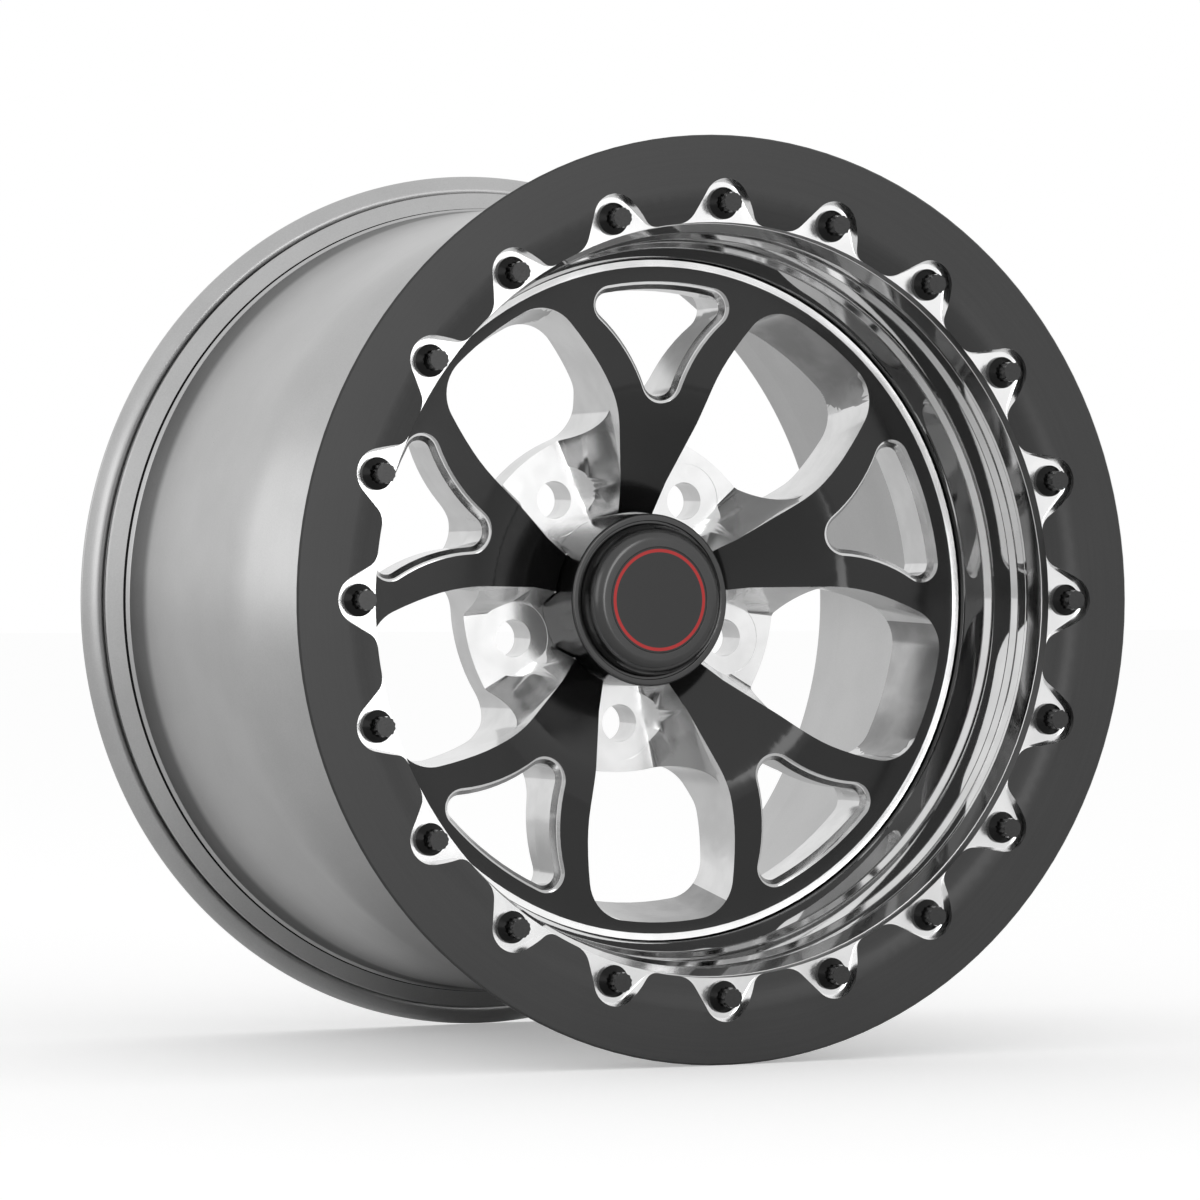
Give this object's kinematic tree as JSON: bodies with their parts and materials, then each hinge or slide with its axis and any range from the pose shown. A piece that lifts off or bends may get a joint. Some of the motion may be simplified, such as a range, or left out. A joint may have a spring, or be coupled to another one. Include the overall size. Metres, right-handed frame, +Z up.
{
  "type": "beadlock wheel",
  "caption": "Wide drag-racing wheel with a bolted scalloped bead-clamp ring, polished stepped lip, forked black spokes, hub cap and satin barrel.",
  "frame": {"origin": "centre of the hub's mounting face, on the axle line", "axes": "+Z up, +Y along the axle line from the ring's face to the rear edge, so the front looks along -Y"},
  "size_m": [0.4154, 0.2735, 0.4154],
  "materials": {
    "ring_black": "satin black anodised",
    "bolt_black": "black coated steel",
    "insert_steel": "plain steel",
    "polished": "mirror polished",
    "barrel": "satin",
    "centre": "satin black face with polished machined walls",
    "cap_black": "gloss black",
    "medallion": "black with a red line",
    "rubber": "plain"
  },
  "bodies": {
    "root": {"beadlock_ring": "ring_black", "beadlock_bolts": "bolt_black", "thread_inserts": "insert_steel", "beadlock_flange": "polished", "outer_rim_half": "polished", "inner_rim_half": "barrel", "rim_seam": "barrel", "wheel_centre": "centre", "centre_cap": "cap_black", "cap_medallion": "medallion", "cap_o_ring": "rubber"}
  },
  "joints": []
}
